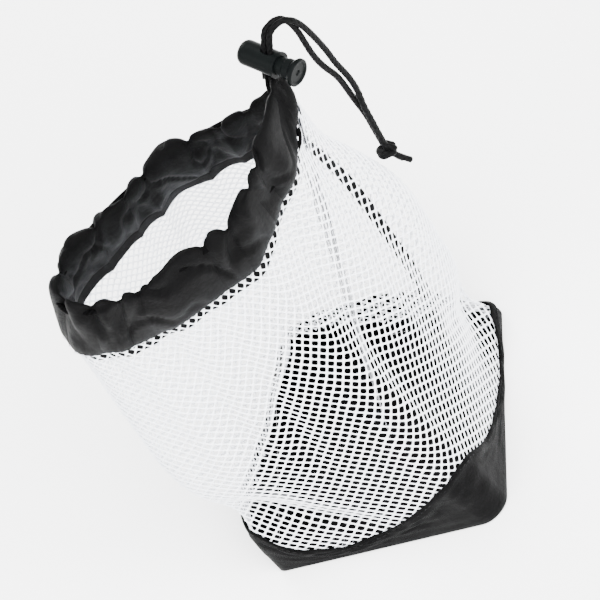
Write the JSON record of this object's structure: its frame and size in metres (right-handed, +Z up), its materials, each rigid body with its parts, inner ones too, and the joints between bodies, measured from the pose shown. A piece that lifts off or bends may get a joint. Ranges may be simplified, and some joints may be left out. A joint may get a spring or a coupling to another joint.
{
  "type": "mesh ball bag",
  "caption": "Small upright drawstring ball bag: white open net body, black gathered casing collar, square black base, cord and push-button cord lock.",
  "frame": {"origin": "middle of the square base, on the face that rests on the floor", "axes": "+Z up through the open mouth; X and Y along the base's edges, with the cord lock over the +X -Y side"},
  "size_m": [0.1149, 0.1518, 0.2777],
  "materials": {
    "black_nylon": "satin",
    "white_mesh": "satin",
    "black_tape": "matte",
    "black_thread": "satin",
    "white_thread": "satin",
    "black_cord": "satin",
    "lock_plastic": "satin",
    "spring_steel": "satin"
  },
  "bodies": {
    "bag": {"base_panel": "black_nylon", "base_wall": "black_nylon", "base_stitches": "black_thread", "mesh_body": "white_mesh", "side_seam_tape": "black_tape", "side_seam_stitches": "white_thread", "collar_seam_tape": "black_tape", "collar_casing": "black_nylon", "collar_stitches": "black_thread", "exit_bartacks": "black_thread", "drawstring_loop": "black_cord", "cord_strand_a": "black_cord", "cord_strand_b": "black_cord", "cord_knot": "black_cord", "cord_tail_a": "black_cord", "cord_tail_b": "black_cord"},
    "lock": {"lock_barrel": "lock_plastic", "lock_spring": "spring_steel"},
    "plunger": {"lock_plunger": "lock_plastic"}
  },
  "joints": [
    {"name": "lock_slide", "type": "slide", "parent": "bag", "child": "lock", "axis": [0.2714, -0.2911, 0.9174], "range_m": [0, 0.006]},
    {"name": "plunger_press", "type": "slide", "parent": "lock", "child": "plunger", "axis": [0.5504, 0.8289, 0.1002], "range_m": [0, 0.003], "stiffness_N_per_m": 1000, "springref_m": -0.003, "deforming": ["lock_spring"]}
  ]
}
